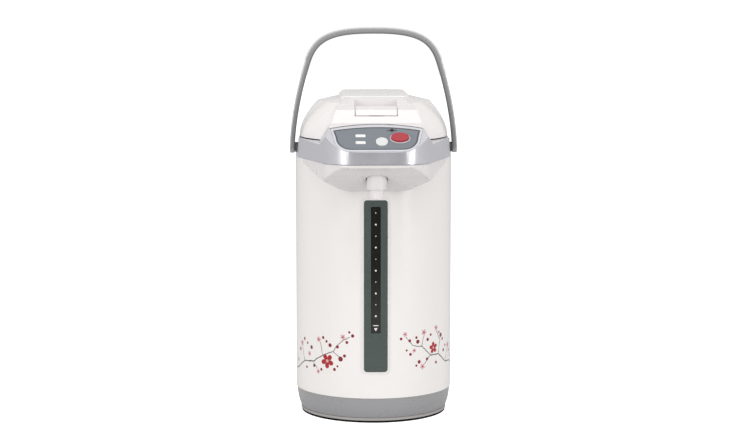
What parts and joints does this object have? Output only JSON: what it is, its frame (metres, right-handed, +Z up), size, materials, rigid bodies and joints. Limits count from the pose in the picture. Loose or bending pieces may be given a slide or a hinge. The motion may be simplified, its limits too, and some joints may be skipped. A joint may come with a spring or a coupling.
{
  "type": "electric thermo pot",
  "caption": "Insulated hot-water pot with a motor pump, front spout and tilted panel, level gauge, hinged lid, carrying bail and swivelling base.",
  "frame": {"origin": "centre of the rubber foot's underside, on the table", "axes": "+Z up along the pot's axis, -Y towards the spout and control panel, +X to the right seen from the front"},
  "size_m": [0.198, 0.267, 0.455],
  "materials": {
    "white_steel": "printed gloss enamel on sheet steel",
    "white_plastic": "moulded gloss",
    "cover_plastic": "moulded gloss",
    "silver_plastic": "silver paint on plastic",
    "rim_plastic": "moulded gloss",
    "panel_plastic": "printed satin sheet",
    "gauge_plastic": "moulded gloss",
    "red_plastic": "soft key top",
    "key_white": "soft key top",
    "black_plastic": "moulded",
    "window_plastic": "smoked clear",
    "lamp_plastic": "translucent",
    "handle_plastic": "silver grey, moulded",
    "pivot_plastic": "moulded",
    "base_plastic": "moulded grey",
    "grey_plastic": "moulded",
    "inner_plastic": "moulded, natural",
    "foot_rubber": "matt",
    "hose_silicone": "silicone",
    "stainless": "drawn, satin",
    "zinc_steel": "zinc plated",
    "heater_band": "steel over mica",
    "ceramic_body": "unglazed",
    "board_laminate": "lacquered laminate",
    "contact_brass": "plated",
    "tube_glass": "clear",
    "impeller_plastic": "moulded",
    "magnet_ferrite": "sintered, dark grey"
  },
  "bodies": {
    "pot": {"base_skirt": "base_plastic", "bottom_cover": "grey_plastic", "base_screws": "zinc_steel", "outer_body": "white_steel", "chassis_plate": "zinc_steel", "inner_container": "stainless", "band_heater": "heater_band", "thermostat": "ceramic_body", "thermal_fuse": "ceramic_body", "power_board": "board_laminate", "power_inlet": "black_plastic", "inlet_pins": "contact_brass", "pump_motor": "zinc_steel", "pump_housing": "inner_plastic", "pump_cover": "inner_plastic", "suction_hose": "hose_silicone", "riser_elbow": "hose_silicone", "gauge_tube": "tube_glass", "gauge_backing": "black_plastic", "gauge_frame": "gauge_plastic", "gauge_rim": "rim_plastic", "gauge_window": "window_plastic", "valve_housing": "inner_plastic", "spout_pipe": "hose_silicone", "nozzle_boss": "cover_plastic", "nozzle": "cover_plastic", "collar": "silver_plastic", "beak_cover": "cover_plastic", "mouth_ring": "base_plastic", "panel_rim": "rim_plastic", "control_panel": "panel_plastic", "lamp_lenses": "lamp_plastic", "control_board": "board_laminate", "switches": "black_plastic", "button_ring": "rim_plastic", "handle_pins": "pivot_plastic", "hinge_housing": "silver_plastic", "hinge_pin": "zinc_steel"},
    "swivel_base": {"foot_pad": "foot_rubber", "turntable": "grey_plastic", "glide_ring": "inner_plastic", "swivel_washer": "zinc_steel"},
    "bail": {"handle": "handle_plastic"},
    "lid": {"lid_cover": "white_plastic", "lid_inner": "stainless", "lid_gasket": "hose_silicone", "steam_cap": "white_plastic", "steam_tube": "inner_plastic", "lever_pin": "zinc_steel"},
    "lever": {"lid_lever": "white_plastic"},
    "dispense_key": {"dispense_button": "red_plastic"},
    "reboil_key": {"reboil_button": "key_white"},
    "lock": {"lock_slider": "black_plastic"},
    "motor_rotor": {"drive_magnet": "magnet_ferrite"},
    "pump_rotor": {"impeller": "impeller_plastic"},
    "tip_ball": {"valve_ball": "stainless"}
  },
  "joints": [
    {"name": "base_swivel", "type": "hinge", "parent": "pot", "child": "swivel_base", "pos_m": [0, 0, 0.006], "axis": [0, 0, 1], "continuous": true},
    {"name": "handle_swing", "type": "hinge", "parent": "pot", "child": "bail", "pos_m": [0, 0, 0.314], "axis": [1, 0, 0], "range_deg": [-90, 70]},
    {"name": "lid_hinge", "type": "hinge", "parent": "pot", "child": "lid", "pos_m": [0, 0.093, 0.332], "axis": [-1, 0, 0], "range_deg": [0, 15]},
    {"name": "lever_pull", "type": "hinge", "parent": "lid", "child": "lever", "pos_m": [0, -0.1096, 0.3611], "axis": [1, 0, 0], "range_deg": [0, 20], "stiffness_Nm_per_rad": 0.05, "springref_deg": -5.73},
    {"name": "dispense_press", "type": "slide", "parent": "pot", "child": "dispense_key", "axis": [0, 0.5878, -0.809], "range_m": [0, 0.0025], "stiffness_N_per_m": 300, "springref_m": -0.001},
    {"name": "reboil_press", "type": "slide", "parent": "pot", "child": "reboil_key", "axis": [0, 0.5878, -0.809], "range_m": [0, 0.0012], "stiffness_N_per_m": 300, "springref_m": -0.001},
    {"name": "lock_slide", "type": "slide", "parent": "pot", "child": "lock", "axis": [1, 0, 0], "range_m": [-0.004, 0.004]},
    {"name": "motor_spin", "type": "hinge", "parent": "pot", "child": "motor_rotor", "pos_m": [0, -0.046, 0.03], "axis": [0, 0, 1], "continuous": true},
    {"name": "impeller_spin", "type": "hinge", "parent": "pot", "child": "pump_rotor", "pos_m": [0, -0.046, 0.044], "axis": [0, 0, 1], "continuous": true},
    {"name": "tip_ball_rise", "type": "slide", "parent": "pot", "child": "tip_ball", "axis": [0, 0, 1], "range_m": [0, 0.003]}
  ],
  "couplings": [
    {"joint": "impeller_spin", "follows": "motor_spin", "ratio": 1}
  ]
}
